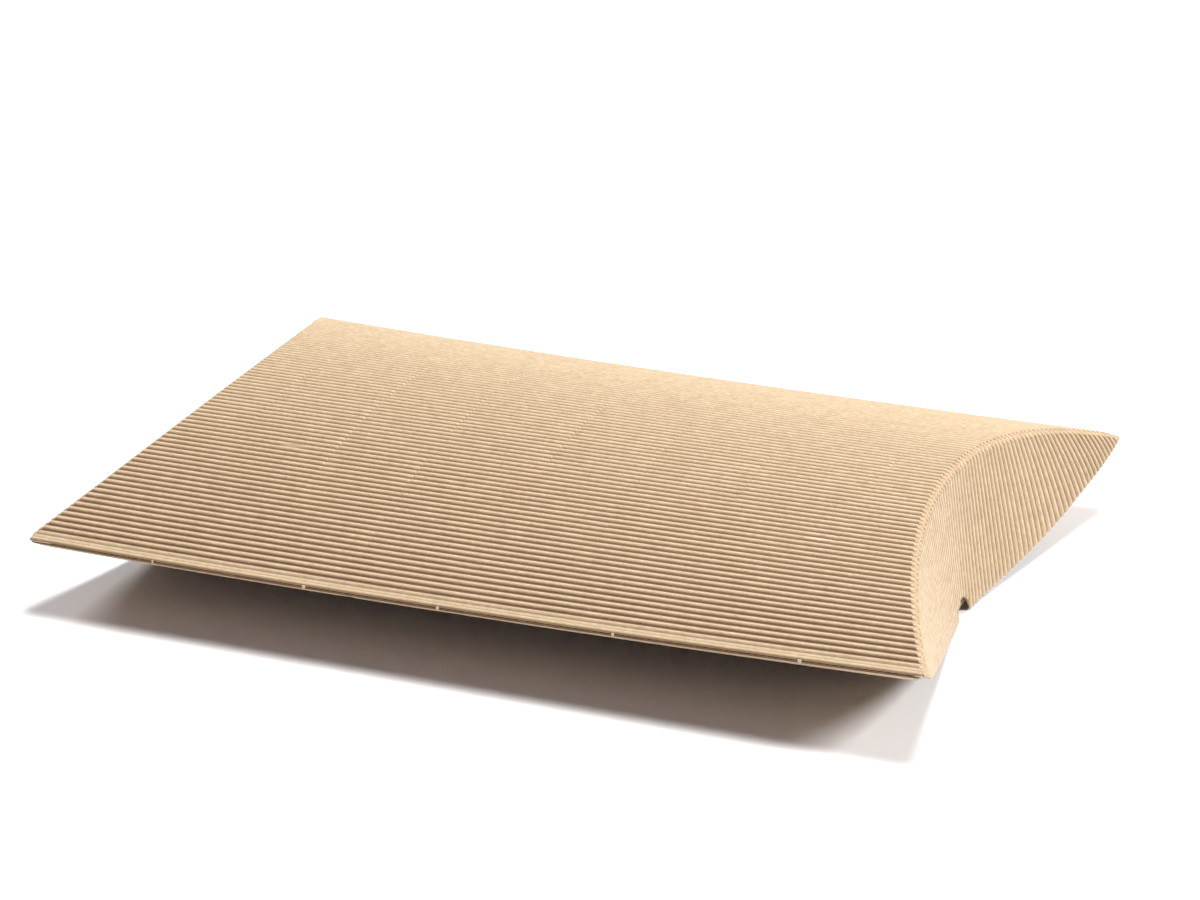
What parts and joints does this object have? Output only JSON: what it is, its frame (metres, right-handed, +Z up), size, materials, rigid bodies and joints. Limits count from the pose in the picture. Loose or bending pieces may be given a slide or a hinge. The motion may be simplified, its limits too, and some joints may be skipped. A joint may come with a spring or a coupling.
{
  "type": "pillow box",
  "caption": "Pillow box of fluted kraft board: two bowed panels, a perforated long fold, a glued seam, and curved-crease flaps that close the ends.",
  "frame": {"origin": "on the table under the middle of the box, where the belly rests", "axes": "+X along the flutes and the long edges, +Y from the perforated fold to the glued seam, +Z up"},
  "size_m": [0.3998, 0.2694, 0.0655],
  "materials": {
    "liner": "matt",
    "medium": "matt",
    "glue": "satin"
  },
  "bodies": {
    "box": {"upper_liner": "liner", "upper_fluting": "medium", "lower_liner": "liner", "lower_fluting": "medium", "fold_nicks": "liner", "seam_glue": "glue", "tab_fluting": "medium", "tab_liner": "liner"},
    "right_outer_flap": {"right_outer_flap_liner": "liner", "right_outer_flap_fluting": "medium"},
    "right_inner_flap": {"right_inner_flap_liner": "liner", "right_inner_flap_fluting": "medium"},
    "left_outer_flap": {"left_outer_flap_liner": "liner", "left_outer_flap_fluting": "medium"},
    "left_inner_flap": {"left_inner_flap_liner": "liner", "left_inner_flap_fluting": "medium"}
  },
  "joints": [
    {"name": "right_outer_flap_fold", "type": "hinge", "parent": "box", "child": "right_outer_flap", "pos_m": [0.165, 0, 0.06407], "axis": [0, -1, 0], "range_deg": [0, 90]},
    {"name": "right_inner_flap_fold", "type": "hinge", "parent": "box", "child": "right_inner_flap", "pos_m": [0.16854, 0, 0.00147], "axis": [0, -1, 0], "range_deg": [0, 75]},
    {"name": "left_outer_flap_fold", "type": "hinge", "parent": "box", "child": "left_outer_flap", "pos_m": [-0.165, 0, 0.06407], "axis": [0, 1, 0], "range_deg": [0, 90]},
    {"name": "left_inner_flap_fold", "type": "hinge", "parent": "box", "child": "left_inner_flap", "pos_m": [-0.16854, 0, 0.00147], "axis": [0, 1, 0], "range_deg": [0, 75]}
  ]
}
